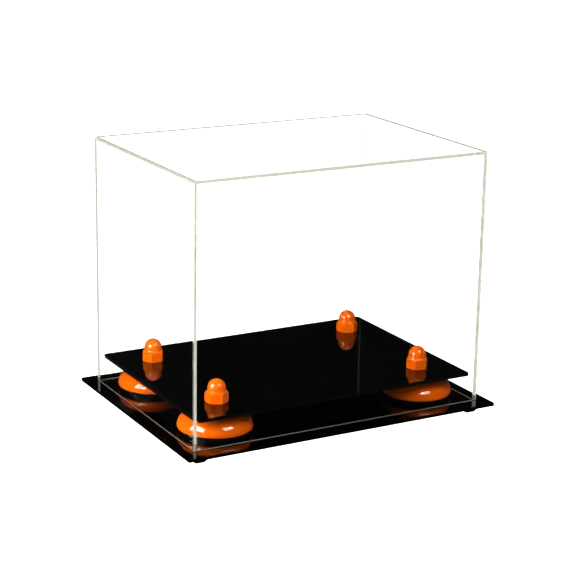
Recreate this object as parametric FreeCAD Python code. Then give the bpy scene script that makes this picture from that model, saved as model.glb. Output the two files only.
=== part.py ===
"""Display case for a small football helmet: a clear cover over a raised black deck.

Millimetres, +Z up. The origin is on the table under the middle of the base, +X runs along
the long side to the right and +Y runs to the back. One STEP file is written for each piece.
"""

import FreeCAD, Part
import math
import os

from FreeCAD import Vector

# --------------------------------------------------------------------------- driving dimensions

# Clear cover: five flat sheets glued edge to face, open at the bottom
COVER_LENGTH = 240.0            # outside, along X
COVER_DEPTH = 171.3             # outside, along Y
COVER_HEIGHT = 194.0            # outside, from the base plate to the top face
COVER_SHEET = 2.5               # thickness of every cover sheet

# Base plate that the cover stands on
BASE_RIM_ENDS = 9.5             # how far the base shows past the cover at each end
BASE_RIM_SIDES = 11.4           # and at the front and back
BASE_THICKNESS = 2.5
BASE_CORNER_RADIUS = 1.0

# Raised deck, which also keeps the cover from sliding on the base
DECK_GAP_ENDS = 2.65            # between the deck and the inside of the cover, at each end
DECK_GAP_SIDES = 1.2            # and at the front and back
DECK_THICKNESS = 2.5
DECK_CORNER_RADIUS = 2.2

# Riser under each corner of the deck: a domed plastic stop on a thin disc
DOME_RADIUS = 27.1              # widest, at the rim
DOME_RISE = 14.6                # from the rim's widest line to where the curve would close
DOME_HEIGHT = 16.65             # bottom face to the seat that carries the deck
DOME_RIM_RISE = 1.5             # bottom face to the widest line
DOME_RIM_INSET = 0.9            # how far the bottom edge tucks in under the widest line
DOME_SEAT_RADIUS = 8.0          # flat boss on top, under the deck
DOME_GAP_ENDS = 1.6             # from the dome's rim to the deck's end, seen from above
DOME_GAP_SIDES = 2.6            # and to the deck's front or back edge
DISC_HEIGHT = 3.0
DISC_INSET = 0.2                # how much smaller the disc is than the dome's bottom edge
DISC_EDGE = 0.35                # bevel on the disc's rim

# Bolt, nut and nut cap through each riser (M8)
BOLT_DIAMETER = 8.0
BOLT_HOLE_CLEARANCE = 0.25      # radial, in the base, disc, dome and deck
BOLT_HEAD_DIAMETER = 17.0
BOLT_HEAD_HEIGHT = 2.2
BOLT_HEAD_EDGE = 0.8            # bevel round the low head
BOLT_SOCKET_FLATS = 5.0         # hex key socket
BOLT_SOCKET_DEPTH = 1.5
BOLT_TIP_BEVEL = 1.0
BOLT_PAST_NUT = 2.25            # thread that shows above the nut
NUT_FLATS = 13.0
NUT_HEIGHT = 6.5
NUT_BEVEL = 0.7
CAP_CLEARANCE = 0.2             # between nut and cap, on each flat and above
CAP_WALL = 0.8                  # round the nut's flats
CAP_SHOULDER = 1.5              # height of the sloping step above the flats
CAP_SHOULDER_SLOPE = 0.2        # how far the step's top edge lies inside the flats
CAP_NECK = 2.3                  # height of the neck between step and dome
CAP_DOME_STEP = 0.8             # how much slimmer the dome is than the flats
CAP_DOME_WALL = 1.2
CAP_FOOT_RISE = 1.0             # height of the rounded bottom edge
CAP_FOOT_INSET = 0.75           # how far that edge cuts into the corners
CAP_TURN_DEG = {"front_left": 33.0, "front_right": -6.0, "back_left": 15.0, "back_right": 0.0}

# Stick-on rubber feet
HEAD_TO_TABLE = 0.8             # air under the bolt heads
FOOT_TOP = 12.0                 # side of the square face that is stuck to the base
FOOT_BOTTOM = 8.0               # side of the square face that stands on the table
FOOT_TOP_CORNER = 1.5
FOOT_BOTTOM_CORNER = 0.8
FOOT_INSET_LEFT = 10.5          # foot centre to the base's left end
FOOT_INSET_RIGHT = 19.8         # foot centre to the base's right end
FOOT_INSET_SIDES = 7.2          # foot centre to the base's front or back edge

# ------------------------------------------------------------------------------- derived places

FOOT_HEIGHT = BOLT_HEAD_HEIGHT + HEAD_TO_TABLE
BASE_BOTTOM = FOOT_HEIGHT
BASE_TOP = BASE_BOTTOM + BASE_THICKNESS
DISC_TOP = BASE_TOP + DISC_HEIGHT
DECK_BOTTOM = DISC_TOP + DOME_HEIGHT
DECK_TOP = DECK_BOTTOM + DECK_THICKNESS
COVER_TOP = BASE_TOP + COVER_HEIGHT

BASE_LENGTH = COVER_LENGTH + 2 * BASE_RIM_ENDS
BASE_DEPTH = COVER_DEPTH + 2 * BASE_RIM_SIDES
DECK_LENGTH = COVER_LENGTH - 2 * (COVER_SHEET + DECK_GAP_ENDS)
DECK_DEPTH = COVER_DEPTH - 2 * (COVER_SHEET + DECK_GAP_SIDES)

RISER_X = DECK_LENGTH / 2 - DOME_GAP_ENDS - DOME_RADIUS
RISER_Y = DECK_DEPTH / 2 - DOME_GAP_SIDES - DOME_RADIUS
FOOT_Y = BASE_DEPTH / 2 - FOOT_INSET_SIDES
FOOT_X_LEFT = -BASE_LENGTH / 2 + FOOT_INSET_LEFT
FOOT_X_RIGHT = BASE_LENGTH / 2 - FOOT_INSET_RIGHT

BOLT_HOLE_RADIUS = BOLT_DIAMETER / 2 + BOLT_HOLE_CLEARANCE
BOLT_TIP = DECK_TOP + NUT_HEIGHT + BOLT_PAST_NUT

CORNERS = {
    "front_left": (-1, -1),
    "front_right": (1, -1),
    "back_left": (-1, 1),
    "back_right": (1, 1),
}


# -------------------------------------------------------------------------------- shape helpers

def block(x_size, y_size, z_low, z_high, x_mid=0.0, y_mid=0.0):
    """A rectangular block centred on (x_mid, y_mid)."""
    corner = Vector(x_mid - x_size / 2, y_mid - y_size / 2, z_low)
    return Part.makeBox(x_size, y_size, z_high - z_low, corner)


def cylinder(radius, z_low, z_high):
    """An upright cylinder on the Z axis."""
    return Part.makeCylinder(radius, z_high - z_low, Vector(0, 0, z_low))


def hexagon(flats, z_low, z_high):
    """An upright hexagonal prism on the Z axis with a corner on +X."""
    corner_radius = flats / math.sqrt(3)
    points = [
        Vector(
            corner_radius * math.cos(math.radians(60 * side)),
            corner_radius * math.sin(math.radians(60 * side)),
            z_low,
        )
        for side in range(7)
    ]
    return Part.Face(Part.makePolygon(points)).extrude(Vector(0, 0, z_high - z_low))


def rounded_square(side, radius, z):
    """A closed square wire with rounded corners, centred on the Z axis."""
    half = side / 2
    inner = half - radius
    bulge = inner + radius * math.sqrt(0.5)
    edges = []
    for turn in range(4):
        start = Vector(inner, -half, z) if turn == 0 else edges[-1].Vertexes[-1].Point
        sign_x, sign_y = ((1, -1), (1, 1), (-1, 1), (-1, -1))[turn]
        along_x = turn % 2 == 0
        end = Vector(sign_x * (half if along_x else inner), sign_y * (inner if along_x else half), z)
        middle = Vector(sign_x * bulge, sign_y * bulge, z)
        edges.append(Part.Arc(start, middle, end).toShape())
        step = ((0, 1), (-1, 0), (0, -1), (1, 0))[turn]
        far = end + Vector(step[0] * 2 * inner, step[1] * 2 * inner, 0)
        edges.append(Part.LineSegment(end, far).toShape())
    return Part.Wire(edges)


def revolve(edges):
    """A solid turned round the Z axis from a closed chain of edges in the XZ plane."""
    face = Part.Face(Part.Wire(edges))
    solid = face.revolve(Vector(0, 0, 0), Vector(0, 0, 1), 360)
    return Part.Solid(solid) if solid.ShapeType != "Solid" else solid


def line(start, end):
    """A straight edge between two (radius, height) points."""
    return Part.LineSegment(Vector(start[0], 0, start[1]), Vector(end[0], 0, end[1])).toShape()


def arc(start, middle, end):
    """A circular edge through three (radius, height) points."""
    points = [Vector(radius, 0, height) for radius, height in (start, middle, end)]
    return Part.Arc(*points).toShape()


def chain(points):
    """Straight edges joining (radius, height) points into a closed outline."""
    closed = points + points[:1]
    return [line(closed[index], closed[index + 1]) for index in range(len(points))]


def vertical_edges(shape):
    """The edges of a shape that run straight up."""
    return [
        edge
        for edge in shape.Edges
        if len(edge.Vertexes) == 2
        and abs(edge.Vertexes[0].X - edge.Vertexes[1].X) < 1e-6
        and abs(edge.Vertexes[0].Y - edge.Vertexes[1].Y) < 1e-6
    ]


def riser_place(corner):
    """X and Y of the riser at a named corner."""
    sign_x, sign_y = CORNERS[corner]
    return sign_x * RISER_X, sign_y * RISER_Y


def at_riser(shape, corner, z=0.0, turn_deg=0.0):
    """A shape made on the Z axis, turned and moved to the riser at a named corner."""
    placed = shape.copy()
    placed.rotate(Vector(0, 0, 0), Vector(0, 0, 1), turn_deg)
    x, y = riser_place(corner)
    placed.translate(Vector(x, y, z))
    return placed


# -------------------------------------------------------------------------------------- sheets

def cover_panels():
    """The cover: front and back run the full length, ends fit between, the top lies on all four."""
    wall_top = COVER_TOP - COVER_SHEET
    inside_depth = COVER_DEPTH - 2 * COVER_SHEET
    wall_y = (COVER_DEPTH - COVER_SHEET) / 2
    wall_x = (COVER_LENGTH - COVER_SHEET) / 2
    return {
        "cover_top_panel": block(COVER_LENGTH, COVER_DEPTH, wall_top, COVER_TOP),
        "cover_front_panel": block(COVER_LENGTH, COVER_SHEET, BASE_TOP, wall_top, 0, -wall_y),
        "cover_back_panel": block(COVER_LENGTH, COVER_SHEET, BASE_TOP, wall_top, 0, wall_y),
        "cover_left_panel": block(COVER_SHEET, inside_depth, BASE_TOP, wall_top, -wall_x, 0),
        "cover_right_panel": block(COVER_SHEET, inside_depth, BASE_TOP, wall_top, wall_x, 0),
    }


def drilled_sheet(length, depth, z_low, z_high, corner_radius):
    """A flat sheet with rounded corners and a bolt hole over each riser."""
    sheet = block(length, depth, z_low, z_high)
    sheet = sheet.makeFillet(corner_radius, vertical_edges(sheet))
    hole = cylinder(BOLT_HOLE_RADIUS, z_low - 1, z_high + 1)
    for corner in CORNERS:
        sheet = sheet.cut(at_riser(hole, corner))
    return sheet


# -------------------------------------------------------------------------------------- risers

def riser_dome():
    """Domed stop: a rolled-under rim, an elliptical side and a flat boss that carries the deck."""
    bottom_radius = DOME_RADIUS - DOME_RIM_INSET
    rim_middle = (DOME_RADIUS - 0.3 * DOME_RIM_INSET, 0.5 * DOME_RIM_RISE)
    boss_foot = DOME_RIM_RISE + DOME_RISE * math.sqrt(1 - (DOME_SEAT_RADIUS / DOME_RADIUS) ** 2)
    centre = Vector(0, 0, DOME_RIM_RISE)
    ellipse = Part.Ellipse(
        centre + Vector(DOME_RADIUS, 0, 0), centre + Vector(0, 0, DOME_RISE), centre
    )
    rim_at = ellipse.parameter(Vector(DOME_RADIUS, 0, DOME_RIM_RISE))
    boss_at = ellipse.parameter(Vector(DOME_SEAT_RADIUS, 0, boss_foot))
    side = ellipse.toShape(min(rim_at, boss_at), max(rim_at, boss_at))
    outline = [
        line((0, 0), (bottom_radius, 0)),
        arc((bottom_radius, 0), rim_middle, (DOME_RADIUS, DOME_RIM_RISE)),
        side,
        line((DOME_SEAT_RADIUS, boss_foot), (DOME_SEAT_RADIUS, DOME_HEIGHT)),
        line((DOME_SEAT_RADIUS, DOME_HEIGHT), (0, DOME_HEIGHT)),
        line((0, DOME_HEIGHT), (0, 0)),
    ]
    return revolve(outline).cut(cylinder(BOLT_HOLE_RADIUS, -1, DOME_HEIGHT + 1))


def riser_disc():
    """Thin disc between the base and the dome, with bevelled rims."""
    radius = DOME_RADIUS - DOME_RIM_INSET - DISC_INSET
    outline = chain(
        [
            (BOLT_HOLE_RADIUS, 0),
            (radius - DISC_EDGE, 0),
            (radius, DISC_EDGE),
            (radius, DISC_HEIGHT - DISC_EDGE),
            (radius - DISC_EDGE, DISC_HEIGHT),
            (BOLT_HOLE_RADIUS, DISC_HEIGHT),
        ]
    )
    return revolve(outline)


# ------------------------------------------------------------------------------------ hardware

def riser_bolt():
    """Low-headed bolt, head under the base, measured from the base's underside at height 0."""
    head_radius = BOLT_HEAD_DIAMETER / 2
    shank_radius = BOLT_DIAMETER / 2
    tip = BOLT_TIP - BASE_BOTTOM
    outline = chain(
        [
            (0, -BOLT_HEAD_HEIGHT),
            (head_radius - BOLT_HEAD_EDGE, -BOLT_HEAD_HEIGHT),
            (head_radius, -BOLT_HEAD_HEIGHT + BOLT_HEAD_EDGE),
            (head_radius, 0),
            (shank_radius, 0),
            (shank_radius, tip - BOLT_TIP_BEVEL),
            (shank_radius - BOLT_TIP_BEVEL, tip),
            (0, tip),
        ]
    )
    socket = hexagon(
        BOLT_SOCKET_FLATS, -BOLT_HEAD_HEIGHT - 1, -BOLT_HEAD_HEIGHT + BOLT_SOCKET_DEPTH
    )
    return revolve(outline).cut(socket)


def riser_nut():
    """Hexagonal nut with bevelled corners, bore on the bolt's thread."""
    corner_radius = NUT_FLATS / math.sqrt(3)
    envelope = revolve(
        chain(
            [
                (0, 0),
                (corner_radius - NUT_BEVEL, 0),
                (corner_radius, NUT_BEVEL / 2),
                (corner_radius, NUT_HEIGHT - NUT_BEVEL / 2),
                (corner_radius - NUT_BEVEL, NUT_HEIGHT),
                (0, NUT_HEIGHT),
            ]
        )
    )
    nut = hexagon(NUT_FLATS, 0, NUT_HEIGHT).common(envelope)
    return nut.cut(cylinder(BOLT_DIAMETER / 2, -1, NUT_HEIGHT + 1))


def nut_cap():
    """Push-on cap: a hexagonal skirt round the nut, a sloping step, a neck and a round dome."""
    flats = NUT_FLATS + 2 * (CAP_CLEARANCE + CAP_WALL)
    corner_radius = flats / math.sqrt(3)
    step_top = NUT_HEIGHT + CAP_SHOULDER
    step_radius = flats / 2 - CAP_SHOULDER_SLOPE
    dome_radius = flats / 2 - CAP_DOME_STEP
    dome_middle = step_top + CAP_NECK

    envelope = revolve(
        chain(
            [
                (0, 0),
                (corner_radius - CAP_FOOT_INSET, 0),
                (corner_radius - 0.3 * CAP_FOOT_INSET, 0.3 * CAP_FOOT_RISE),
                (corner_radius, CAP_FOOT_RISE),
                (corner_radius, NUT_HEIGHT),
                (step_radius, step_top),
                (0, step_top),
            ]
        )
    )
    skirt = hexagon(flats, 0, step_top).common(envelope)

    neck_bow = (dome_radius + 0.3 * (step_radius - dome_radius), step_top + 0.4 * CAP_NECK)
    dome_bow = (dome_radius * math.sqrt(0.5), dome_middle + dome_radius * math.sqrt(0.5))
    dome = revolve(
        [
            line((0, NUT_HEIGHT), (step_radius, NUT_HEIGHT)),
            line((step_radius, NUT_HEIGHT), (step_radius, step_top)),
            arc((step_radius, step_top), neck_bow, (dome_radius, dome_middle)),
            arc((dome_radius, dome_middle), dome_bow, (0, dome_middle + dome_radius)),
            line((0, dome_middle + dome_radius), (0, NUT_HEIGHT)),
        ]
    )

    hollow_radius = dome_radius - CAP_DOME_WALL
    nut_room = hexagon(NUT_FLATS + 2 * CAP_CLEARANCE, -1, NUT_HEIGHT + CAP_CLEARANCE)
    tip_room = cylinder(hollow_radius, -1, dome_middle).fuse(
        Part.makeSphere(hollow_radius, Vector(0, 0, dome_middle))
    )
    return skirt.fuse(dome).cut(nut_room).cut(tip_room).removeSplitter()


# ---------------------------------------------------------------------------------------- feet

def foot():
    """Square rubber foot that tapers towards the table."""
    wires = [
        rounded_square(FOOT_BOTTOM, FOOT_BOTTOM_CORNER, 0),
        rounded_square(FOOT_TOP, FOOT_TOP_CORNER, FOOT_HEIGHT),
    ]
    return Part.makeLoft(wires, True, True)


def feet():
    """The four feet, each under a corner of the base plate."""
    pieces = {}
    for corner, (sign_x, sign_y) in CORNERS.items():
        piece = foot()
        piece.translate(Vector(FOOT_X_LEFT if sign_x < 0 else FOOT_X_RIGHT, sign_y * FOOT_Y, 0))
        pieces[f"foot_{corner}"] = piece
    return pieces


# ------------------------------------------------------------------------------------- assembly

def risers():
    """Dome, disc, bolt, nut and cap at each of the four corners."""
    dome = riser_dome()
    disc = riser_disc()
    bolt = riser_bolt()
    nut = riser_nut()
    cap = nut_cap()
    pieces = {}
    for corner in CORNERS:
        turn = CAP_TURN_DEG[corner]
        pieces[f"riser_disc_{corner}"] = at_riser(disc, corner, BASE_TOP)
        pieces[f"riser_dome_{corner}"] = at_riser(dome, corner, DISC_TOP)
        pieces[f"riser_bolt_{corner}"] = at_riser(bolt, corner, BASE_BOTTOM, turn)
        pieces[f"riser_nut_{corner}"] = at_riser(nut, corner, DECK_TOP, turn)
        pieces[f"nut_cap_{corner}"] = at_riser(cap, corner, DECK_TOP, turn)
    return pieces


def all_pieces():
    """Every piece of the case by name."""
    pieces = {
        "base_plate": drilled_sheet(
            BASE_LENGTH, BASE_DEPTH, BASE_BOTTOM, BASE_TOP, BASE_CORNER_RADIUS
        ),
        "display_deck": drilled_sheet(
            DECK_LENGTH, DECK_DEPTH, DECK_BOTTOM, DECK_TOP, DECK_CORNER_RADIUS
        ),
    }
    pieces.update(cover_panels())
    pieces.update(risers())
    pieces.update(feet())
    return pieces


def main():
    """Write one STEP file for each piece."""
    os.makedirs("parts", exist_ok=True)
    for name, shape in all_pieces().items():
        solids = shape.Solids
        if len(solids) != 1 or not shape.isValid():
            raise ValueError(f"{name} is not one valid solid")
        solids[0].exportStep(os.path.join("parts", f"{name}.step"))
        print(f"{name}: {solids[0].Volume:.1f} mm3")


main()
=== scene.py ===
"""Looks of the football display case: clear lift-off cover, black base and deck, orange risers and caps.

Metres, +Z up, in the frame of the CAD model. Every size comes from the CAD nodes' boxes or from the
fields of the class that builds the piece.
"""

import logging
import math
from collections.abc import Callable, Iterator, Sequence
from contextlib import contextmanager
from dataclasses import dataclass, field
from enum import Enum

import bmesh
import bpy
from mathutils import Matrix, Vector


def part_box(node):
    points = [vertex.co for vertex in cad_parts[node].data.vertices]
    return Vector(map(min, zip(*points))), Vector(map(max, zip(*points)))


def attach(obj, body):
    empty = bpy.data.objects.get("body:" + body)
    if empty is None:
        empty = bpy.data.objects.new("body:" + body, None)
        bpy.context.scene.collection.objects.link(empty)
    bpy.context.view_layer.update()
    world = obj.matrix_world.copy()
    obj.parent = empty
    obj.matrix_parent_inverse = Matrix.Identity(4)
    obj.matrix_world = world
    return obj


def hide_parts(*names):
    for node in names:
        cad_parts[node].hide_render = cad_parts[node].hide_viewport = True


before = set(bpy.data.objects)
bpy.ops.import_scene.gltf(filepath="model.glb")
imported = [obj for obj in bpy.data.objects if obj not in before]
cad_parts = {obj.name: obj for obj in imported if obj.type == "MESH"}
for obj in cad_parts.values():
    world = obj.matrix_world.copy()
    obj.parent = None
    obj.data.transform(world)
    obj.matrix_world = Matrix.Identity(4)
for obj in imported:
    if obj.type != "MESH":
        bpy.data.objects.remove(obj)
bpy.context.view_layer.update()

MM = 0.001
FACING = 0.9  # least cosine between an axis and what lies along it
SHARP = 1.0  # radians between two faces that meet in a corner
SMOOTH_DEGREES = 38.0  # shading stays smooth across edges flatter than this
MERGE = 1e-6  # points nearer than this are one
FINE_MERGE = 1e-7
HEX_SIDES = 6
ONCE = 0.5  # a ray's count is above this after one turn
TWICE = 1.5
WHITE = (1.0, 1.0, 1.0, 1.0)

log = logging.getLogger("display_case")

Point = tuple[float, float]
Span = tuple[float, float]
Triple = tuple[float, float, float]
Colour = tuple[float, float, float, float]
Piece = bpy.types.Object
Material = bpy.types.Material
Tree = bpy.types.NodeTree
Socket = bpy.types.NodeSocket
Node = bpy.types.Node


class Corner(Enum):
    """The four corners that carry a riser, a cap and a foot."""

    FRONT_LEFT = "front_left"
    FRONT_RIGHT = "front_right"
    BACK_LEFT = "back_left"
    BACK_RIGHT = "back_right"


class Body(Enum):
    """Rigid bodies that don't depend on a corner."""

    BASE = "base"
    COVER = "cover"


class Slot(Enum):
    """Material slots of the record."""

    CLEAR = "clear_acrylic"
    BLACK = "black_acrylic"
    ORANGE = "orange_plastic"
    DISC = "black_plastic"
    RUBBER = "black_rubber"
    STEEL = "zinc_steel"


# ----------------------------------------------------------------------------- modelling helpers


def deselect_all() -> None:
    """Leave object mode and select nothing."""
    if bpy.context.object is not None and bpy.context.object.mode != "OBJECT":
        bpy.ops.object.mode_set(mode="OBJECT")
    bpy.ops.object.select_all(action="DESELECT")


def make_active(piece: Piece) -> None:
    """Select one object alone and make it active.

    Args:
        piece: The object that the next operators work on.
    """
    deselect_all()
    piece.select_set(True)
    bpy.context.view_layer.objects.active = piece


@contextmanager
def edit_mode(piece: Piece) -> Iterator[None]:
    """Work on one object in edit mode, with all of it selected at the start.

    Args:
        piece: The object to shape.
    """
    make_active(piece)
    bpy.ops.object.mode_set(mode="EDIT")
    bpy.ops.mesh.select_all(action="SELECT")
    yield
    bpy.ops.object.mode_set(mode="OBJECT")


def discard(*pieces: Piece) -> None:
    """Delete patterns and tools that are no longer needed."""
    for piece in pieces:
        bpy.data.objects.remove(piece, do_unlink=True)


def select_in_mesh(
    piece: Piece,
    faces: Callable[[bmesh.types.BMFace], bool] | None = None,
    edges: Callable[[bmesh.types.BMEdge], bool] | None = None,
) -> None:
    """Select faces or edges of the mesh in edit mode by a test.

    Args:
        piece: An object that is in edit mode.
        faces: Says which faces are selected.
        edges: Says which edges are selected.
    """
    bpy.ops.mesh.select_all(action="DESELECT")
    mesh = bmesh.from_edit_mesh(piece.data)
    for face in mesh.faces if faces else ():
        if faces(face):
            face.select_set(True)
    for edge in mesh.edges if edges else ():
        if edges(edge):
            edge.select_set(True)
    bmesh.update_edit_mesh(piece.data)


def add_block(name: str, low: Vector, high: Vector) -> Piece:
    """Add a rectangular block between two corners.

    Args:
        name: Name of the new piece.
        low: Lowest corner.
        high: Highest corner.

    Returns:
        The block, with its place in its mesh.
    """
    deselect_all()
    bpy.ops.mesh.primitive_cube_add(size=1.0, location=(low + high) / 2)
    piece = bpy.context.object
    piece.name = name
    piece.scale = high - low
    bpy.ops.object.transform_apply(location=True, rotation=True, scale=True)
    return piece


def is_upright(edge: bmesh.types.BMEdge) -> bool:
    """Say whether an edge runs straight up."""
    along = (edge.verts[1].co - edge.verts[0].co).normalized()
    return abs(along.z) > FACING


def bevel_edges(
    piece: Piece, test: Callable[[bmesh.types.BMEdge], bool], width: float, steps: int
) -> None:
    """Round the chosen edges of a piece.

    Args:
        piece: The piece to shape.
        test: Says which edges are rounded.
        width: Width of the bevel.
        steps: Segments across the bevel.
    """
    with edit_mode(piece):
        select_in_mesh(piece, edges=test)
        bpy.ops.mesh.bevel(offset=width, segments=steps, affect="EDGES")


def apply_modifier(piece: Piece, kind: str, **settings: object) -> None:
    """Add a modifier with the given settings and apply it.

    Args:
        piece: The piece to shape.
        kind: The modifier's type.
        **settings: Values set on the modifier.
    """
    make_active(piece)
    modifier = piece.modifiers.new(kind.title(), kind)
    for name, value in settings.items():
        setattr(modifier, name, value)
    bpy.ops.object.modifier_apply(modifier=modifier.name)


def cut_away(piece: Piece, tool: Piece) -> None:
    """Cut one mesh from another and delete the tool.

    Args:
        piece: The piece that loses material.
        tool: A closed mesh of the space that is cut.
    """
    apply_modifier(piece, "BOOLEAN", operation="DIFFERENCE", solver="EXACT", object=tool)
    discard(tool)


def soften(
    piece: Piece, width: float = 0.0, steps: int = 2, angle: float = 28.0
) -> None:
    """Give every sharp edge a fine rounding and shade the piece smooth.

    Args:
        piece: The piece to finish.
        width: Width of the rounding, or 0 for none.
        steps: Segments across the rounding.
        angle: Edges sharper than this many degrees are rounded.
    """
    if width > 0:
        apply_modifier(
            piece,
            "BEVEL",
            width=width,
            segments=steps,
            limit_method="ANGLE",
            angle_limit=math.radians(angle),
            use_clamp_overlap=True,
        )
    make_active(piece)
    bpy.ops.object.shade_smooth_by_angle(angle=math.radians(SMOOTH_DEGREES))
    apply_modifier(piece, "WEIGHTED_NORMAL", keep_sharp=True, weight=80)


def tidy_mesh(piece: Piece, distance: float = MERGE) -> None:
    """Merge doubled points and turn every face outwards.

    Args:
        piece: A closed mesh.
        distance: Points nearer than this are merged.
    """
    with edit_mode(piece):
        bpy.ops.mesh.remove_doubles(threshold=distance)
        bpy.ops.mesh.normals_make_consistent(inside=False)


def turn(name: str, outline: Sequence[Point], steps: int, closed: bool = False) -> Piece:
    """Turn an outline of (radius, height) points round the Z axis.

    Args:
        name: Name of the new piece.
        outline: The points in order. An open outline starts and ends on the axis.
        steps: Sides of the turned shape.
        closed: Whether the last point joins the first, as on a ring.

    Returns:
        The turned solid, standing on the Z axis.
    """
    deselect_all()
    points = [Vector((radius, 0.0, height)) for radius, height in outline]
    bpy.ops.mesh.primitive_plane_add(size=1.0)
    piece = bpy.context.object
    piece.name = name
    with edit_mode(piece):
        bpy.ops.mesh.merge(type="CENTER")
        bpy.ops.transform.translate(value=points[0])
        for before, after in zip(points, points[1:] + points[:1] if closed else points[1:]):
            bpy.ops.mesh.extrude_region_move(TRANSFORM_OT_translate={"value": after - before})
        bpy.ops.mesh.select_all(action="SELECT")
        bpy.ops.mesh.remove_doubles(threshold=FINE_MERGE)
        bpy.ops.mesh.spin(steps=steps, angle=2 * math.pi, center=(0, 0, 0), axis=(0, 0, 1))
    tidy_mesh(piece, FINE_MERGE)
    return piece


def cut_flats(piece: Piece, flats: float) -> None:
    """Plane six flats on a turned piece, with a corner on +X.

    Args:
        piece: A closed turned mesh on the Z axis.
        flats: Distance across two opposite flats.
    """
    side_angle = 2 * math.pi / HEX_SIDES
    with edit_mode(piece):
        for side in range(HEX_SIDES):
            angle = side_angle * (side + 0.5)
            outward = Vector((math.cos(angle), math.sin(angle), 0.0))
            bpy.ops.mesh.select_all(action="SELECT")
            bpy.ops.mesh.bisect(
                plane_co=outward * flats / 2, plane_no=outward, clear_outer=True, use_fill=True
            )
    tidy_mesh(piece, FINE_MERGE)


def add_hexagon(name: str, flats: float, low: float, high: float) -> Piece:
    """Add an upright hexagonal bar with a corner on +X.

    Args:
        name: Name of the new piece.
        flats: Distance across two opposite flats.
        low: Height of its bottom.
        high: Height of its top.

    Returns:
        The bar, standing on the Z axis.
    """
    deselect_all()
    bpy.ops.mesh.primitive_cylinder_add(
        vertices=HEX_SIDES,
        radius=flats / math.sqrt(3),
        depth=high - low,
        location=(0, 0, (low + high) / 2),
        rotation=(0, 0, math.pi / HEX_SIDES),
    )
    piece = bpy.context.object
    piece.name = name
    bpy.ops.object.transform_apply(location=True, rotation=True, scale=True)
    return piece


def put(piece: Piece, place: Vector, turn_degrees: float = 0.0) -> None:
    """Turn a piece about the Z axis, move it, and keep both in its mesh.

    Args:
        piece: A piece made on the Z axis.
        place: Where its origin goes.
        turn_degrees: Turn about the Z axis.
    """
    make_active(piece)
    piece.rotation_euler = (0.0, 0.0, math.radians(turn_degrees))
    piece.location = place
    bpy.ops.object.transform_apply(location=True, rotation=True, scale=True)


def copy_of(piece: Piece, name: str) -> Piece:
    """Copy a piece with its own mesh.

    Args:
        piece: The piece to copy.
        name: Name of the copy.

    Returns:
        The copy, linked beside the first.
    """
    twin = piece.copy()
    twin.data = piece.data.copy()
    twin.name = name
    twin.data.name = name
    bpy.context.scene.collection.objects.link(twin)
    return twin


def box_of(node: str) -> tuple[Vector, Vector]:
    """The lowest and highest corners of a CAD node."""
    low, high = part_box(node)
    return Vector(low), Vector(high)


def foot_point(node: str) -> Vector:
    """The middle of the bottom of a CAD node's box."""
    low, high = box_of(node)
    return Vector(((low.x + high.x) / 2, (low.y + high.y) / 2, low.z))


def over_riser(node: str, corner: Corner) -> Vector:
    """The point on a riser's axis that is level with the bottom of a CAD node."""
    riser = foot_point(f"riser_disc_{corner.value}")
    return Vector((riser.x, riser.y, box_of(node)[0].z))


def arc_points(
    centre: Point, radii: Point, start_degrees: float, end_degrees: float, steps: int
) -> list[Point]:
    """Points along an elliptical arc in the (radius, height) plane.

    Args:
        centre: Middle of the ellipse.
        radii: Half widths along radius and height.
        start_degrees: Where the arc starts.
        end_degrees: Where the arc ends.
        steps: Number of stretches.

    Returns:
        The points, both ends included.
    """
    points = []
    for step in range(steps + 1):
        angle = math.radians(start_degrees + (end_degrees - start_degrees) * step / steps)
        points.append(
            (centre[0] + radii[0] * math.cos(angle), centre[1] + radii[1] * math.sin(angle))
        )
    return points


# --------------------------------------------------------------------------------------- finishes


@dataclass(frozen=True)
class Texture:
    """A noise pattern, with cells per metre, and the part of its values that is put to use."""

    cells: float
    detail: float
    spread: Span = (0.0, 1.0)
    stretch: Triple | None = None


def fill(tree: Tree, socket: Socket, value: object) -> None:
    """Link a socket to another one, or set its value.

    Args:
        tree: The nodes it belongs to.
        socket: The input to fill.
        value: An output socket or a plain value.
    """
    if isinstance(value, Socket):
        tree.links.new(value, socket)
    else:
        socket.default_value = value


def add_math(tree: Tree, operation: str, first: Socket, second: Socket | float) -> Socket:
    """Add a Math node.

    Args:
        tree: The nodes it joins.
        operation: What it works out.
        first: Its first value.
        second: Its second value.

    Returns:
        The result's socket.
    """
    node = tree.nodes.new("ShaderNodeMath")
    node.operation = operation
    fill(tree, node.inputs[0], first)
    fill(tree, node.inputs[1], second)
    return node.outputs[0]


def blend(tree: Tree, share: Socket, first: object, second: object, kind: str = "FLOAT") -> Socket:
    """Add a Mix node for two numbers or two colours.

    Args:
        tree: The nodes it joins.
        share: 0 for the first, 1 for the second.
        first: The value or socket at 0.
        second: The value or socket at 1.
        kind: What is mixed, as the node's data type.

    Returns:
        The result's socket.
    """
    node = tree.nodes.new("ShaderNodeMix")
    node.data_type = kind
    for name, value in (("Factor", share), ("A", first), ("B", second)):
        fill(tree, node.inputs[name], value)
    return node.outputs["Result"]


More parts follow.
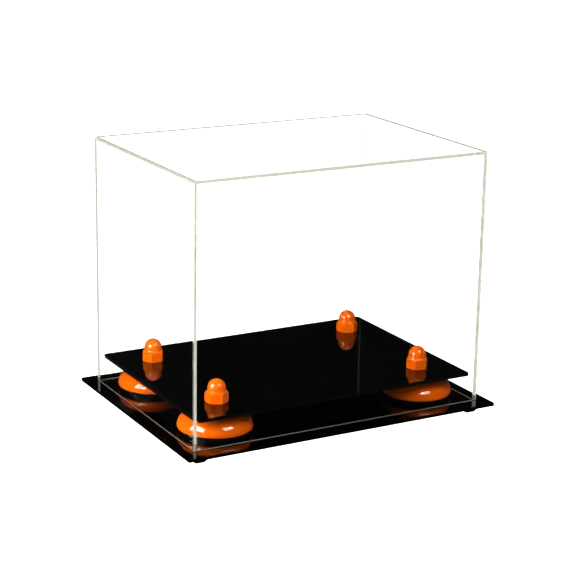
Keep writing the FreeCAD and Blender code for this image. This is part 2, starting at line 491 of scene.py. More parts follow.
class NodeBoard:
    """A short way to lay out a material's nodes."""

    def __init__(self, name: str) -> None:
        """Start an empty material.

        Args:
            name: Name of the material.
        """
        self.material = bpy.data.materials.new(name)
        self.material.use_nodes = True
        self.tree = self.material.node_tree
        self.tree.nodes.clear()
        self.output = self.tree.nodes.new("ShaderNodeOutputMaterial")
        self.place = self.tree.nodes.new("ShaderNodeTexCoord").outputs["Object"]

    def add(self, kind: str, **inputs: object) -> Node:
        """Add a node and fill its sockets.

        Args:
            kind: The node's type.
            **inputs: Values or output sockets by input name, with _ for a blank.

        Returns:
            The node.
        """
        node = self.tree.nodes.new(kind)
        for key, value in inputs.items():
            fill(self.tree, node.inputs[key.replace("_", " ")], value)
        return node

    def noise(self, texture: Texture) -> Socket:
        """A texture's value from 0 to 1, on the piece's own coordinates."""
        place = self.place
        if texture.stretch:
            mapping = self.add("ShaderNodeMapping", Vector=place, Scale=texture.stretch)
            place = mapping.outputs["Vector"]
        node = self.add(
            "ShaderNodeTexNoise", Vector=place, Scale=texture.cells, Detail=texture.detail
        )
        return node.outputs["Fac"]

    def ramp(self, value: Socket, spread: Span, levels: Span = (0.0, 1.0)) -> Socket:
        """A value mapped from one range to another and held inside it.

        Args:
            value: The value to map.
            spread: Its range.
            levels: The results at the two ends of that range.

        Returns:
            The result's socket.
        """
        node = self.add(
            "ShaderNodeMapRange",
            Value=value,
            From_Min=spread[0],
            From_Max=spread[1],
            To_Min=levels[0],
            To_Max=levels[1],
        )
        return node.outputs["Result"]

    def bump(self, height: Socket, distance: float, strength: float = 1.0) -> Socket:
        """A surface normal from a height.

        Args:
            height: Height from 0 to 1.
            distance: Real depth in metres.
            strength: Share of the effect.

        Returns:
            The normal's socket.
        """
        node = self.add("ShaderNodeBump", Height=height, Distance=distance, Strength=strength)
        return node.outputs["Normal"]

    def mixed(self, share: Socket | float, first: Node, second: Node) -> Node:
        """Mix two shaders.

        Args:
            share: 0 for the first shader, 1 for the second.
            first: The shader at 0.
            second: The shader at 1.

        Returns:
            The mixed shader.
        """
        node = self.tree.nodes.new("ShaderNodeMixShader")
        for socket, value in zip(node.inputs, (share, first.outputs[0], second.outputs[0])):
            fill(self.tree, socket, value)
        return node

    def finish(self, shader: Node) -> Material:
        """Join the last shader to the output and hand over the material."""
        self.tree.links.new(shader.outputs[0], self.output.inputs["Surface"])
        return self.material

    def finish_clear(self, shader: Node, tint: Colour) -> Material:
        """Finish a clear material whose shadows let the lamps' light pass straight on.

        Args:
            shader: What the eye sees.
            tint: Colour of the light that passes.

        Returns:
            The finished material.
        """
        path = self.add("ShaderNodeLightPath")
        passing = self.add("ShaderNodeBsdfTransparent", Color=tint)
        return self.finish(self.mixed(path.outputs["Is Shadow Ray"], shader, passing))


@dataclass(frozen=True)
class ClearAcrylic:
    """Clear cast sheet: nearly colourless, with faint polishing waves and a painted glow where a ray is
    trapped inside it.
    """

    name: str = "clear acrylic sheet"
    tint: Colour = (0.985, 0.992, 0.982, 1.0)
    # painted glow: colour, dimmed see-through share and streaky strength of the light the sheet emits
    # where a ray is trapped
    painted_glow_tint: Colour = (0.88, 0.88, 0.77, 1.0)
    stray_tint: Colour = (0.25, 0.25, 0.22, 1.0)
    stray_share: float = 0.2
    glow: Span = (0.80, 1.12)
    most_turns: float = 1.5
    nearly_all: float = 0.999
    refraction: float = 1.49
    waves: Texture = Texture(35.0, 1.0)
    wave_depth: float = 0.0000025
    painted_glow_streaks: Texture = Texture(420.0, 2.0, (0.35, 0.65), (1.0, 1.0, 0.4))

    def make(self) -> Material:
        """Lay out the sheet's nodes."""
        board = NodeBoard(self.name)
        tree = board.tree
        optics = {
            "Roughness": 0.0,
            "IOR": self.refraction,
            "Normal": board.bump(board.noise(self.waves), self.wave_depth),
        }
        glass = board.add(
            "ShaderNodeBsdfPrincipled", Base_Color=self.tint, Transmission_Weight=1.0, **optics
        )
        leaving = board.add("ShaderNodeBsdfRefraction", Color=self.tint, **optics)
        # painted glow: the sheet emits pale olive light in streaks where a ray is trapped by total
        # reflection, standing in for light piped along the sheet
        glow = board.ramp(board.noise(self.painted_glow_streaks), self.painted_glow_streaks.spread, self.glow)
        painted_glow = board.add("ShaderNodeEmission", Color=self.painted_glow_tint, Strength=glow)
        stray = board.add("ShaderNodeBsdfTransparent", Color=self.stray_tint)
        painted_glow_mix = board.mixed(self.stray_share, painted_glow, stray)
        mirrored = board.add("ShaderNodeFresnel", IOR=self.refraction).outputs[0]
        inside = board.add("ShaderNodeNewGeometry").outputs["Backfacing"]
        turns = board.add("ShaderNodeLightPath").outputs["Glossy Depth"]
        escapes = add_math(tree, "LESS_THAN", mirrored, self.nearly_all)
        escapes = add_math(tree, "MULTIPLY", escapes, inside)
        trapped = add_math(tree, "GREATER_THAN", turns, self.most_turns)
        trapped = add_math(tree, "MULTIPLY", trapped, inside)
        steep = add_math(tree, "GREATER_THAN", mirrored, self.nearly_all)
        trapped = add_math(tree, "MULTIPLY", trapped, steep)
        mixed = board.mixed(escapes, glass, leaving)
        return board.finish_clear(board.mixed(trapped, mixed, painted_glow_mix), self.tint)


@dataclass(frozen=True)
class PolishedEdge:
    """Cut and polished sheet edge: clear, faintly olive, a little milky, with a fine saw ripple."""

    name: str = "polished acrylic edge"
    tint: Colour = (0.93, 0.94, 0.86, 1.0)
    milky_and_painted_dark_colour: Colour = (0.86, 0.88, 0.78, 1.0)
    milky_and_painted_dark_share: Span = (0.12, 0.22)
    outer_share: float = 0.35
    roughness: Span = (0.05, 0.14)
    refraction: float = 1.49
    patches: Texture = Texture(60.0, 2.0, (0.35, 0.65))
    ripple: Texture = Texture(500.0, 2.0, stretch=(1.0, 1.0, 0.35))
    ripple_depth: float = 0.000004
    ripple_strength: float = 0.6

    def make(self) -> Material:
        """Lay out the edge's nodes."""
        board = NodeBoard(self.name)
        patches = board.noise(self.patches)
        glass = board.add(
            "ShaderNodeBsdfPrincipled",
            Base_Color=self.tint,
            Roughness=board.ramp(patches, self.patches.spread, self.roughness),
            IOR=self.refraction,
            Transmission_Weight=1.0,
            Normal=board.bump(board.noise(self.ripple), self.ripple_depth, self.ripple_strength),
        )
        # milky share of the edge; on the seated edge this share is the painted dark that stands in for
        # the black base under it
        inner = board.add("ShaderNodeBsdfTranslucent", Color=self.milky_and_painted_dark_colour)
        outer = board.add("ShaderNodeBsdfDiffuse", Color=self.milky_and_painted_dark_colour)
        milky_and_painted_dark = board.mixed(self.outer_share, inner, outer)
        share = board.ramp(patches, self.patches.spread, self.milky_and_painted_dark_share)
        return board.finish_clear(board.mixed(share, glass, milky_and_painted_dark), self.tint)


@dataclass(frozen=True)
class SeatedEdge(PolishedEdge):
    """Sawn lower edge that stands on the black base, mostly painted dark: a dark diffuse colour stands
    in for the base's black and the shade where the sheet meets it.
    """

    name: str = "seated acrylic edge"
    # painted dark: colour that stands in for the black base and the shade under the edge
    milky_and_painted_dark_colour: Colour = (0.092, 0.084, 0.073, 1.0)
    milky_and_painted_dark_share: Span = (0.86, 0.94)
    outer_share: float = 1.0


@dataclass(frozen=True)
class WeldedJoint:
    """Solvent weld between two sheets: clear, with a faint cloud of tiny bubbles."""

    name: str = "welded acrylic joint"
    clear: Colour = (0.985, 0.988, 0.975, 1.0)
    cloudy: Colour = (0.90, 0.91, 0.86, 1.0)
    bubbles: Texture = Texture(700.0, 3.0, (0.5, 0.75))

    def make(self) -> Material:
        """Lay out the weld's nodes."""
        board = NodeBoard(self.name)
        bubbles = board.ramp(board.noise(self.bubbles), self.bubbles.spread)
        tint = blend(board.tree, bubbles, self.clear, self.cloudy, "RGBA")
        return board.finish(board.add("ShaderNodeBsdfTransparent", Color=tint))


@dataclass(frozen=True)
class SolidFinish:
    """What every opaque finish does: two colours drift together and a fine grain sets its gloss."""

    name: str
    colour: Colour
    second_colour: Colour
    drift: Texture
    grain: Texture
    roughness: Span
    relief_depth: float
    relief_strength: float = 0.5
    refraction: float = 1.5

    def relief(self, board: NodeBoard, grain: Socket) -> Socket:
        """The height that lifts the surface: the grain itself."""
        return grain

    def extras(self) -> dict[str, object]:
        """Further values for the surface, by input name."""
        return {}

    def make(self) -> Material:
        """Lay out the finish's nodes."""
        board = NodeBoard(self.name)
        drift = board.ramp(board.noise(self.drift), self.drift.spread)
        grain = board.noise(self.grain)
        height = self.relief(board, grain)
        surface = board.add(
            "ShaderNodeBsdfPrincipled",
            Base_Color=blend(board.tree, drift, self.colour, self.second_colour, "RGBA"),
            Roughness=board.ramp(grain, self.grain.spread, self.roughness),
            IOR=self.refraction,
            Normal=board.bump(height, self.relief_depth, self.relief_strength),
            **self.extras(),
        )
        return board.finish(surface)


@dataclass(frozen=True)
class BlackAcrylic(SolidFinish):
    """Mirror-gloss black sheet with hairline rub marks, dust haze and very shallow waves."""

    name: str = "black gloss acrylic"
    colour: Colour = (0.0003, 0.0003, 0.00025, 1.0)
    second_colour: Colour = (0.0011, 0.0010, 0.0008, 1.0)
    drift: Texture = Texture(14.0, 4.0, (0.45, 0.75))
    grain: Texture = Texture(260.0, 6.0, (0.5, 0.8), (1.0, 0.06, 1.0))
    roughness: Span = (0.008, 0.022)
    waves: Texture = Texture(22.0, 1.0)
    relief_depth: float = 0.0000035
    relief_strength: float = 1.0
    refraction: float = 1.49

    def relief(self, board: NodeBoard, grain: Socket) -> Socket:
        """The height that lifts the surface: the waves, not the rub marks."""
        return board.noise(self.waves)


@dataclass(frozen=True)
class OrangePlastic(SolidFinish):
    """Bright moulded plastic with a wet gloss, a faint moulding ripple and slight colour drift."""

    name: str = "orange gloss plastic"
    colour: Colour = (0.60, 0.085, 0.0005, 1.0)
    second_colour: Colour = (0.53, 0.070, 0.0004, 1.0)
    drift: Texture = Texture(45.0, 3.0, (0.35, 0.75))
    grain: Texture = Texture(650.0, 2.0, (0.3, 0.8))
    roughness: Span = (0.035, 0.065)
    relief_depth: float = 0.000012
    depth_lit: float = 0.06
    depth_reach: Triple = (0.003, 0.0012, 0.0004)
    coat: float = 0.7
    coat_roughness: float = 0.015

    def extras(self) -> dict[str, object]:
        """Light that soaks in, and the glossy skin."""
        return {
            "Subsurface_Weight": self.depth_lit,
            "Subsurface_Radius": self.depth_reach,
            "Coat_Weight": self.coat,
            "Coat_Roughness": self.coat_roughness,
        }


@dataclass(frozen=True)
class SatinBlackPlastic(SolidFinish):
    """Satin moulded black with a fine grain."""

    name: str = "satin black plastic"
    colour: Colour = (0.0005, 0.0005, 0.0005, 1.0)
    second_colour: Colour = (0.0020, 0.0020, 0.0018, 1.0)
    drift: Texture = Texture(1400.0, 3.0)
    grain: Texture = Texture(1400.0, 3.0, (0.3, 0.7))
    roughness: Span = (0.16, 0.26)
    relief_depth: float = 0.00002
    sheen: float = 0.2

    def extras(self) -> dict[str, object]:
        """A weaker mirror than bare plastic has."""
        return {"Specular_IOR_Level": self.sheen}


@dataclass(frozen=True)
class FootRubber(SolidFinish):
    """Dull black rubber with a soft pitted skin and a little pale dust."""

    name: str = "foot rubber"
    colour: Colour = (0.012, 0.012, 0.012, 1.0)
    second_colour: Colour = (0.045, 0.043, 0.040, 1.0)
    drift: Texture = Texture(180.0, 3.0, (0.45, 0.8))
    grain: Texture = Texture(1100.0, 5.0, (0.3, 0.7))
    roughness: Span = (0.62, 0.85)
    relief_depth: float = 0.00004
    relief_strength: float = 0.7


@dataclass(frozen=True)
class ZincSteel(SolidFinish):
    """Bright zinc-plated steel with turning marks and a faint warm passivation."""

    name: str = "zinc plated steel"
    colour: Colour = (0.62, 0.63, 0.64, 1.0)
    second_colour: Colour = (0.60, 0.56, 0.46, 1.0)
    drift: Texture = Texture(120.0, 3.0, (0.4, 0.8))
    grain: Texture = Texture(700.0, 4.0, (0.3, 0.7), (0.15, 0.15, 6.0))
    roughness: Span = (0.20, 0.38)
    relief_depth: float = 0.00001

    def extras(self) -> dict[str, object]:
        """It is bare metal."""
        return {"Metallic": 1.0}


def made(finish: type) -> Material:
    """A field that holds a finish's material, made when the set is."""
    return field(default_factory=lambda: finish().make())


@dataclass
class Finishes:
    """One made material for each finish."""

    clear: Material = made(ClearAcrylic)
    edge: Material = made(PolishedEdge)
    weld: Material = made(WeldedJoint)
    seat: Material = made(SeatedEdge)
    black: Material = made(BlackAcrylic)
    orange: Material = made(OrangePlastic)
    disc: Material = made(SatinBlackPlastic)
    rubber: Material = made(FootRubber)
    steel: Material = made(ZincSteel)


def dress(
    piece: Piece, material: Material, body: str, node: str
) -> None:
    """Give a finished piece its material and body, and hide the CAD node that it stands for.

    Args:
        piece: The finished piece.
        material: Its main material.
        body: The body it moves with.
        node: The CAD node that it stands for.
    """
    if not piece.data.materials:
        piece.data.materials.append(material)
    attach(piece, body)
    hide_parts(node)
    log.info("%s: %d faces, on %s", piece.name, len(piece.data.polygons), body)


# ----------------------------------------------------------------------------------- sub-assemblies


class SheetFace(Enum):
    """Kinds of face on a clear sheet, as material slots."""

    POLISHED = 0
    CUT = 1
    WELDED = 2
    SEATED = 3


@dataclass
class ClearCover:
    """Five clear sheets welded edge to face, open below."""

    finishes: Finishes
    weld_gap: float = 0.01 * MM
    edge_round: float = 0.3 * MM
    round_steps: int = 3
    long_walls: tuple[str, ...] = ("cover_front_panel", "cover_back_panel")
    end_walls: tuple[str, ...] = ("cover_left_panel", "cover_right_panel")
    lid: str = "cover_top_panel"

    def build(self) -> None:
        """Build every sheet."""
        for node in (*self.long_walls, *self.end_walls, self.lid):
            self.sheet(node)

    def sheet(self, node: str) -> None:
        """Build one sheet, with polished faces, cut edges and welded strips.

        Args:
            node: The CAD node that gives its size and place.
        """
        low, high = box_of(node)
        spans = high - low
        thin = min(range(3), key=lambda axis: spans[axis])
        thickness = spans[thin]
        if node != self.lid:
            high.z -= self.weld_gap
        if node in self.end_walls:
            low.y += self.weld_gap
            high.y -= self.weld_gap
        sheet = add_block(node.replace("panel", "sheet"), low, high)
        self.score(sheet, node, low, high, thickness)
        finishes = self.finishes
        for material in (finishes.clear, finishes.edge, finishes.weld, finishes.seat):
            sheet.data.materials.append(material)
        for face in sheet.data.polygons:
            face.material_index = self.kind_of(face, node, low, high, thin, thickness).value
        bevel_edges(sheet, is_open_edge, self.edge_round, self.round_steps)
        for face in sheet.data.polygons:
            if node != self.lid and face.center.z < low.z + self.edge_round:
                face.material_index = SheetFace.SEATED.value
        soften(sheet)
        dress(sheet, finishes.clear, Body.COVER.value, node)

    def score(
        self, sheet: Piece, node: str, low: Vector, high: Vector, thickness: float
    ) -> None:
        """Divide the faces where another sheet stands against them.

        Args:
            sheet: The plain block.
            node: Its CAD node.
            low: Its lowest corner.
            high: Its highest corner.
            thickness: Thickness of the sheets.
        """
        if node in self.end_walls:
            return
        along = Vector((1, 0, 0))
        across = Vector((0, 1, 0))
        cuts = [(low.x + thickness, along), (high.x - thickness, along)]
        if node == self.lid:
            cuts += [(low.y + thickness, across), (high.y - thickness, across)]
        with edit_mode(sheet):
            for place, normal in cuts:
                bpy.ops.mesh.select_all(action="SELECT")
                bpy.ops.mesh.bisect(plane_co=normal * place, plane_no=normal)

    def kind_of(
        self,
        face: bpy.types.MeshPolygon,
        node: str,
        low: Vector,
        high: Vector,
        thin: int,
        thickness: float,
    ) -> SheetFace:
        """Say what kind of face this is.

        Args:
            face: A face of the sheet.
            node: The sheet's CAD node.
            low: Lowest corner of the sheet.
            high: Highest corner of the sheet.
            thin: The axis across its thickness.
            thickness: Thickness of the sheet.

        Returns:
            The kind of face.
        """
        middle, normal = face.center, face.normal
        in_end_strip = min(middle.x - low.x, high.x - middle.x) < thickness
        in_side_strip = min(middle.y - low.y, high.y - middle.y) < thickness
        if node == self.lid:
            if normal.z < -FACING and (in_end_strip or in_side_strip):
                return SheetFace.WELDED
        elif normal.z < -FACING:
            return SheetFace.SEATED
        elif normal.z > FACING:
            return SheetFace.WELDED
        elif node in self.end_walls and abs(normal.y) > FACING:
            return SheetFace.WELDED
        elif node in self.long_walls and in_end_strip and normal.y * middle.y < 0:
            return SheetFace.WELDED
        return SheetFace.POLISHED if abs(normal[thin]) > FACING else SheetFace.CUT


def is_open_edge(edge: bmesh.types.BMEdge) -> bool:
    """Say whether a sheet's edge is sharp and no weld meets it."""
    welded = any(face.material_index == SheetFace.WELDED.value for face in edge.link_faces)
    return not welded and edge.calc_face_angle(0.0) > SHARP


@dataclass
class BlackSheets:
    """Base plate and raised deck: black sheets with bolt holes and broken edges."""

    finishes: Finishes
    base_corner: float = 1.0 * MM
    deck_corner: float = 2.2 * MM
    hole_radius: float = 4.25 * MM
    edge_break: float = 0.22 * MM
    corner_steps: int = 8
    hole_steps: int = 64

    def build(self) -> None:
        """Build both sheets."""
        self.sheet("base_plate", self.base_corner)
        self.sheet("display_deck", self.deck_corner)

    def sheet(self, node: str, corner_radius: float) -> None:
        """Build one drilled sheet.

        Args:
            node: The CAD node that gives its size and place.
            corner_radius: Radius of its upright corners.
        """
        low, high = box_of(node)
        sheet = add_block(f"{node}_sheet", low, high)
        bevel_edges(sheet, is_upright, corner_radius, self.corner_steps)
        for corner in Corner:
            middle = foot_point(f"riser_disc_{corner.value}")
            drill = self.drill(Vector((middle.x, middle.y, 0.0)), low.z - MM, high.z + MM)
            cut_away(sheet, drill)
        soften(sheet, self.edge_break)
        dress(sheet, self.finishes.black, Body.BASE.value, node)

    def drill(self, place: Vector, low: float, high: float) -> Piece:
        """Make the space of one bolt hole.

        Args:
            place: Middle of the hole.
            low: Height of the drill's bottom.
            high: Height of the drill's top.

        Returns:
            A closed mesh of the hole.
        """
        outline = [(0, low), (self.hole_radius, low), (self.hole_radius, high), (0, high)]
        tool = turn("drill", outline, self.hole_steps)
        put(tool, place)
        return tool


@dataclass
class Riser:
    """Domed orange stop on a thin black disc."""

    finishes: Finishes
    dome_rise: float = 14.6 * MM
    rim_rise: float = 1.5 * MM
    rim_inset: float = 0.9 * MM
    seat_radius: float = 8.0 * MM
    seat_edge: float = 0.5 * MM
    bore_radius: float = 4.25 * MM
    disc_edge: float = 0.35 * MM
    steps: int = 160
    rim_steps: int = 10
    side_steps: int = 48
    edge_steps: int = 5

    def build(self) -> None:
        """Build the dome and the disc of every riser."""
        dome = self.dome()
        disc = self.disc()
        for corner in Corner:
            self.place(dome, corner, "riser_dome", self.finishes.orange, Slot.ORANGE)
            self.place(disc, corner, "riser_disc", self.finishes.disc, Slot.DISC)
        discard(dome, disc)

    def place(
        self,
        pattern: Piece,
        corner: Corner,
        stem: str,
        material: Material,
        slot: Slot,
    ) -> None:
        """Set a copy of a turned piece at a corner.

        Args:
            pattern: The piece made on the Z axis.
            corner: Where the copy goes.
            stem: Start of the CAD node's name.
            material: The copy's material.
            slot: Not used.
        """
        node = f"{stem}_{corner.value}"
        piece = copy_of(pattern, f"{stem}_turned_{corner.value}")
        put(piece, foot_point(node))
        dress(piece, material, Body.BASE.value, node)

    def dome(self) -> Piece:
        """Turn the dome: tucked-under rim, elliptical side, boss and bore.

        Returns:
            The dome, standing on the Z axis.
        """
        low, high = box_of("riser_dome_front_left")
        radius = (high.x - low.x) / 2
        height = high.z - low.z
        boss = math.degrees(math.acos(self.seat_radius / radius))
        bottom = radius - self.rim_inset
        rim_radii = (self.rim_inset, self.rim_rise)
        rim = arc_points((bottom, self.rim_rise), rim_radii, -90, 0, self.rim_steps)
        side_radii = (radius, self.dome_rise)
        side = arc_points((0.0, self.rim_rise), side_radii, 0, boss, self.side_steps)
        edge = (self.seat_edge, self.seat_edge)
        shoulder = (self.seat_radius - self.seat_edge, height - self.seat_edge)
        seat = arc_points(shoulder, edge, 0, 90, self.edge_steps)
        outline = [(self.bore_radius, 0.0), *rim, *side[1:], *seat, (self.bore_radius, height)]
        piece = turn("dome_pattern", outline, self.steps, closed=True)
        soften(piece)
        return piece

    def disc(self) -> Piece:
        """Turn the disc with its bevelled rims.

        Returns:
            The disc, standing on the Z axis.
        """
        low, high = box_of("riser_disc_front_left")
        radius = (high.x - low.x) / 2
        height = high.z - low.z
        edge = (self.disc_edge, self.disc_edge)
        inner = radius - self.disc_edge
        lower = arc_points((inner, self.disc_edge), edge, -90, 0, self.edge_steps)
        upper = arc_points((inner, height - self.disc_edge), edge, 0, 90, self.edge_steps)
        outline = [(self.bore_radius, 0.0), *lower, *upper, (self.bore_radius, height)]
        piece = turn("disc_pattern", outline, self.steps, closed=True)
        soften(piece)
        return piece


@dataclass
class NutCap:
    """Push-on cap: hexagonal skirt with a rounded foot, sloping step, neck and round dome."""

    finishes: Finishes
    flats: float = 15.0 * MM
    skirt: float = 6.5 * MM
    shoulder: float = 1.5 * MM
    shoulder_slope: float = 0.2 * MM
    neck: float = 2.3 * MM
    dome_step: float = 0.8 * MM
    dome_wall: float = 1.2 * MM
    foot_rise: float = 1.0 * MM
    foot_inset: float = 0.75 * MM
    nut_room: float = 13.4 * MM
    nut_room_height: float = 6.7 * MM
    edge_round: float = 0.16 * MM
    round_steps: int = 3
    round_above: float = 24.0
    steps: int = 120
    foot_steps: int = 8
    neck_steps: int = 10
    top_steps: int = 28
    tip_steps: int = 16
    tip_turn_steps: int = 64
    turns: dict[Corner, float] = field(
        default_factory=lambda: {
            Corner.FRONT_LEFT: 33.0,
            Corner.FRONT_RIGHT: -11.0,
            Corner.BACK_LEFT: 0.0,
            Corner.BACK_RIGHT: 40.0,
        }
    )

    def build(self) -> None:
        """Build one cap and set a copy over every nut."""
        pattern = self.pattern()
        for corner in Corner:
            node = f"nut_cap_{corner.value}"
            cap = copy_of(pattern, f"{node}_moulded")
            put(cap, over_riser(node, corner), self.turns[corner])
            dress(cap, self.finishes.orange, f"cap_{corner.value}", node)
        discard(pattern)

    def pattern(self) -> Piece:
        """Turn the outside, plane the flats and hollow the inside.

        Returns:
            The cap, standing on the Z axis with a corner on +X.
        """
        corner = self.flats / math.sqrt(3)
        step_top = self.skirt + self.shoulder
        step_radius = self.flats / 2 - self.shoulder_slope
        dome = self.flats / 2 - self.dome_step
        dome_middle = step_top + self.neck
        foot_radii = (self.foot_inset, self.foot_rise)
        foot_middle = (corner - self.foot_inset, self.foot_rise)
        foot = arc_points(foot_middle, foot_radii, -90, 0, self.foot_steps)
        neck_radii = (step_radius - dome, self.neck)
        neck = arc_points((step_radius, dome_middle), neck_radii, -90, -180, self.neck_steps)
        top = arc_points((0.0, dome_middle), (dome, dome), 0, 90, self.top_steps)
        outline = [(0.0, 0.0), *foot, (corner, self.skirt), *neck, *top[1:-1]]
        outline.append((0.0, dome_middle + dome))
        cap = turn("cap_pattern", outline, self.steps)
        cut_flats(cap, self.flats)
        cut_away(cap, add_hexagon("nut_room", self.nut_room, -MM, self.nut_room_height))
        cut_away(cap, self.tip_room(dome - self.dome_wall, dome_middle))
        tidy_mesh(cap)
        soften(cap, self.edge_round, self.round_steps, self.round_above)
        return cap

    def tip_room(self, radius: float, middle: float) -> Piece:
        """Make the round space over the bolt's tip.

        Args:
            radius: Radius of the space.
            middle: Height where its dome starts.

        Returns:
            A closed mesh of the space.
        """
        top = arc_points((0.0, middle), (radius, radius), 0, 90, self.tip_steps)
        start = self.nut_room_height / 2
        outline = [(0.0, start), (radius, start), *top[:-1], (0.0, middle + radius)]
        return turn("tip_room", outline, self.tip_turn_steps)


@dataclass
class Hardware:
    """Nuts and low-headed bolts with their threads."""

    finishes: Finishes
    turns: dict[Corner, float]
    bolt_radius: float = 4.0 * MM
    thread_depth: float = 0.62 * MM
    pitch: float = 1.25 * MM
    head_radius: float = 8.5 * MM
    head_edge: float = 0.8 * MM
    socket_flats: float = 5.0 * MM
    socket_depth: float = 1.5 * MM
    nut_flats: float = 13.0 * MM
    nut_bevel: float = 0.7 * MM
    nut_mouth: float = 0.35 * MM
    tip_bevel: float = 0.4 * MM
    edge_break: float = 0.08 * MM
    thread_start: float = 1.0
    thread_end: float = 1.6
    root_overlap: float = 1.2
    crest_inset: float = 0.01 * MM
    root_share: float = 0.9
    crest_share: float = 0.15
    thread_smooth: float = 30.0
    thread_steps: int = 48
    head_steps: int = 6
    steps: int = 64

    def build(self) -> None:
        """Build one nut and one bolt and set copies at every riser."""
        nut = self.nut()
        bolt = self.bolt()
        for corner in Corner:
            for pattern, stem in ((nut, "riser_nut"), (bolt, "riser_bolt")):
                node = f"{stem}_{corner.value}"
                piece = copy_of(pattern, f"{stem}_plated_{corner.value}")
                put(piece, over_riser(node, corner), self.turns[corner])
                dress(piece, self.finishes.steel, Body.BASE.value, node)
        discard(nut, bolt)

    def nut(self) -> Piece:
        """Turn the nut's ring and plane its flats.

        Returns:
            The nut, standing on the Z axis.
        """
        low, high = box_of("riser_nut_front_left")
        height = high.z - low.z
        corner = self.nut_flats / math.sqrt(3)
        bevel = self.nut_bevel
        bore = self.bolt_radius
        mouth = bore + self.nut_mouth
        outline = [
            (mouth, 0.0),
            (corner - bevel, 0.0),
            (corner, bevel / 2),
            (corner, height - bevel / 2),
            (corner - bevel, height),
            (mouth, height),
            (bore, height - self.nut_mouth),
            (bore, self.nut_mouth),
        ]
        nut = turn("nut_pattern", outline, self.steps, closed=True)
        cut_flats(nut, self.nut_flats)
        soften(nut, self.edge_break)
        return nut

    def bolt(self) -> Piece:
        """Turn the bolt, cut its key socket and wind its thread.

        Returns:
            The bolt, with the head's face at height 0.
        """
        low, high = box_of("riser_bolt_front_left")
        plate = box_of("base_plate")[0].z
        length = high.z - low.z
        head = plate - low.z
        core = self.bolt_radius - self.thread_depth
        edge = (self.head_edge, self.head_edge)
        rim = (self.head_radius - self.head_edge, self.head_edge)
        outline = [
            (0.0, 0.0),
            (rim[0], 0.0),
            *arc_points(rim, edge, -90, 0, self.head_steps)[1:],
            (self.head_radius, head),
            (self.bolt_radius, head),
            (self.bolt_radius, length / 2),
            (core, length / 2 + self.thread_depth),
            (core, length - self.tip_bevel),
            (core - self.tip_bevel, length),
            (0.0, length),
        ]
        bolt = turn("bolt_pattern", outline, self.steps)
        cut_away(bolt, add_hexagon("key", self.socket_flats, -MM, self.socket_depth))
        soften(bolt, self.edge_break)
        thread = self.thread(
            length / 2 + self.thread_start * self.pitch, length - self.thread_end * self.pitch
        )
        make_active(bolt)
        thread.select_set(True)
        bpy.ops.object.join()
        return bolt

    def thread(self, low: float, high: float) -> Piece:
        """Wind the thread's ridge.

        Args:
            low: Height where it starts.
            high: Height where it ends.

        Returns:
            A closed helical ridge.
        """
        core = self.bolt_radius - self.root_overlap * self.thread_depth
        ridge = self.bolt_radius - self.crest_inset
        deselect_all()
        bpy.ops.mesh.primitive_circle_add(vertices=4, radius=1.0)
        piece = bpy.context.object
        piece.name = "thread_ridge"
        root = self.pitch / 2 * self.root_share
        crest = self.pitch / 2 * self.crest_share
        section = [(core, -root), (ridge, -crest), (ridge, crest), (core, root)]
        for vertex, (radius, height) in zip(piece.data.vertices, section):
            vertex.co = (radius, 0.0, low + height)
        apply_modifier(
            piece,
            "SCREW",
            angle=2 * math.pi,
            screw_offset=self.pitch,
            iterations=int((high - low) / self.pitch),
            steps=self.thread_steps,
            render_steps=self.thread_steps,
            axis="Z",
        )
        with edit_mode(piece):
            bpy.ops.mesh.fill_holes(sides=len(section))
        tidy_mesh(piece, FINE_MERGE)
        bpy.ops.object.shade_smooth_by_angle(angle=math.radians(self.thread_smooth))
        return piece


@dataclass
class Feet:
    """Square rubber feet that taper towards the table."""

    finishes: Finishes
    bottom: float = 8.0 * MM
    corner: float = 1.4 * MM
    corner_steps: int = 6
    edge: float = 0.45 * MM
    edge_steps: int = 4

    def build(self) -> None:
        """Build a foot under every corner."""
        for corner in Corner:
            self.foot(f"foot_{corner.value}")

    def foot(self, node: str) -> None:
        """Taper a block, round its corners and soften its bottom edge.

        Args:
            node: The CAD node that gives its size and place.
        """
        low, high = box_of(node)
        piece = add_block(f"{node}_moulded", low, high)
        taper = self.bottom / (high.x - low.x)
        with edit_mode(piece):
            select_in_mesh(piece, faces=lambda face: face.normal.z < -FACING)
            bpy.ops.transform.resize(value=(taper, taper, 1.0))
        bevel_edges(piece, is_side_edge, self.corner, self.corner_steps)
        bevel_edges(piece, lambda edge: is_low_edge(edge, low.z), self.edge, self.edge_steps)
        soften(piece)
        dress(piece, self.finishes.rubber, Body.BASE.value, node)


def is_side_edge(edge: bmesh.types.BMEdge) -> bool:
    """Say whether an edge joins a foot's top and bottom."""
    return abs(edge.verts[1].co.z - edge.verts[0].co.z) > MM


def is_low_edge(edge: bmesh.types.BMEdge, height: float) -> bool:
    """Say whether an edge lies at a height."""
    return all(abs(vertex.co.z - height) < 0.01 * MM for vertex in edge.verts)


# ------------------------------------------------------------------------------------------ studio


@dataclass(frozen=True)
class Softbox:
    """One soft square lamp."""

    name: str
    place: Triple
    size: Span
    power: float

    def hang(self, aim: Vector) -> None:
        """Hang the lamp and point it.

        Args:
            aim: Where it points.
        """
        data = bpy.data.lights.new(self.name, "AREA")
        data.shape = "RECTANGLE"
        data.size, data.size_y = self.size
        data.energy = self.power
        lamp = bpy.data.objects.new(self.name, data)
        lamp.location = self.place
        towards = aim - Vector(self.place)
        lamp.rotation_euler = towards.to_track_quat("-Z", "Y").to_euler()
        bpy.context.scene.collection.objects.link(lamp)


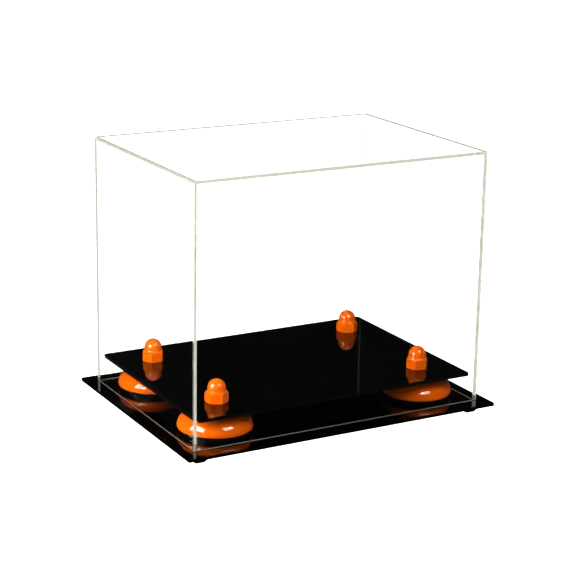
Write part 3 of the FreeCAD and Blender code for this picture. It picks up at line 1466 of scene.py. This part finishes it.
@dataclass(frozen=True)
class WhiteLevels:
    """How bright the studio's white is to each kind of ray."""

    seen: float
    trapped: float
    held_in_edges: float
    mirrored: float
    lighting: float

    def strength(self, tree: Tree) -> Socket:
        """Choose the level for each ray.

        Args:
            tree: The floor's or the world's nodes.

        Returns:
            The strength's socket.
        """
        depth = tree.nodes.new("ShaderNodeLightPath").outputs
        glossed = add_math(tree, "GREATER_THAN", depth["Glossy Depth"], ONCE)
        twice = add_math(tree, "GREATER_THAN", depth["Glossy Depth"], TWICE)
        passed = add_math(tree, "GREATER_THAN", depth["Transmission Depth"], ONCE)
        diffused = add_math(tree, "GREATER_THAN", depth["Diffuse Depth"], ONCE)
        gloss = blend(tree, passed, self.mirrored, self.held_in_edges)
        gloss = blend(tree, twice, gloss, self.trapped)
        seen = blend(tree, glossed, self.seen, gloss)
        return blend(tree, diffused, seen, self.lighting)


@dataclass
class Studio:
    """Pale floor, soft lamps and the camera."""

    azimuth: float = -29.38
    elevation: float = 16.1
    roll: float = 0.99
    distance: float = 1.30337
    aim_height: float = 0.084
    aim_right: float = 0.00113
    aim_up: float = -0.00163
    lens: float = 106.96
    sensor: float = 36.0
    near: float = 0.05
    far: float = 60.0
    floor_size: float = 14.0
    floor_white: WhiteLevels = WhiteLevels(2.2, 0.25, 0.05, 0.012, 0.20)
    world_white: WhiteLevels = WhiteLevels(2.2, 0.03, 0.004, 0.006, 0.14)
    lamps: tuple[Softbox, ...] = (
        Softbox("left_softbox", (-0.345, -0.060, 0.176), (0.20, 0.18), 1.60),
        Softbox("right_softbox", (0.13, -0.67, 0.73), (0.46, 0.34), 4.9),
        Softbox("top_softbox", (-0.2, 0.1, 1.5), (0.9, 0.9), 1.0),
    )

    def build(self) -> None:
        """Set up everything that isn't the object."""
        self.floor()
        self.world()
        aim = Vector((0.0, 0.0, self.aim_height))
        for lamp in self.lamps:
            lamp.hang(aim)
        self.camera()
        bpy.context.scene.view_settings.view_transform = "Standard"

    def floor(self) -> None:
        """Lay a white floor that gloss mirrors as dark."""
        deselect_all()
        bpy.ops.mesh.primitive_plane_add(size=self.floor_size)
        floor = bpy.context.object
        floor.name = "floor"
        board = NodeBoard("white floor")
        strength = self.floor_white.strength(board.tree)
        glow = board.add("ShaderNodeEmission", Color=WHITE, Strength=strength)
        paper = board.finish(glow)
        paper.cycles.emission_sampling = "NONE"
        floor.data.materials.append(paper)

    def world(self) -> None:
        """Surround the studio with white that gloss mirrors as dark."""
        world = bpy.data.worlds.new("soft studio")
        world.use_nodes = True
        world.cycles.sampling_method = "NONE"
        tree = world.node_tree
        backdrop = tree.nodes["Background"]
        fill(tree, backdrop.inputs["Strength"], self.world_white.strength(tree))
        fill(tree, backdrop.inputs["Color"], WHITE)
        bpy.context.scene.world = world

    def camera(self) -> None:
        """Place the camera and look through it."""
        turn_about = math.radians(self.azimuth)
        tilt = math.radians(self.elevation)
        roll = math.radians(self.roll)
        level_share = math.cos(tilt)
        back = Vector(
            (math.sin(turn_about) * level_share, -math.cos(turn_about) * level_share, math.sin(tilt))
        )
        level = Vector((0, 0, 1)).cross(back).normalized()
        rise = back.cross(level)
        right = math.cos(roll) * level + math.sin(roll) * rise
        up = back.cross(right)
        aim = Vector((0.0, 0.0, box_of("base_plate")[1].z + self.aim_height))
        aim += self.aim_right * right + self.aim_up * up
        place = aim + self.distance * back
        data = bpy.data.cameras.new("camera")
        data.lens = self.lens
        data.sensor_width = self.sensor
        data.clip_start = self.near
        data.clip_end = self.far
        camera = bpy.data.objects.new("camera", data)
        axes = Matrix((right, up, back)).transposed()
        camera.matrix_world = Matrix.Translation(place) @ axes.to_4x4()
        bpy.context.scene.collection.objects.link(camera)
        bpy.context.scene.camera = camera


def main() -> None:
    """Build every sub-assembly in order, then the studio."""
    logging.basicConfig(level=logging.INFO, format="%(name)s: %(message)s")
    finishes = Finishes()
    cap = NutCap(finishes)
    for part in (
        BlackSheets(finishes),
        Riser(finishes),
        Hardware(finishes, cap.turns),
        cap,
        Feet(finishes),
        ClearCover(finishes),
        Studio(),
    ):
        part.build()
        log.info("%s is built", type(part).__name__)


if __name__ == "__main__":
    main()
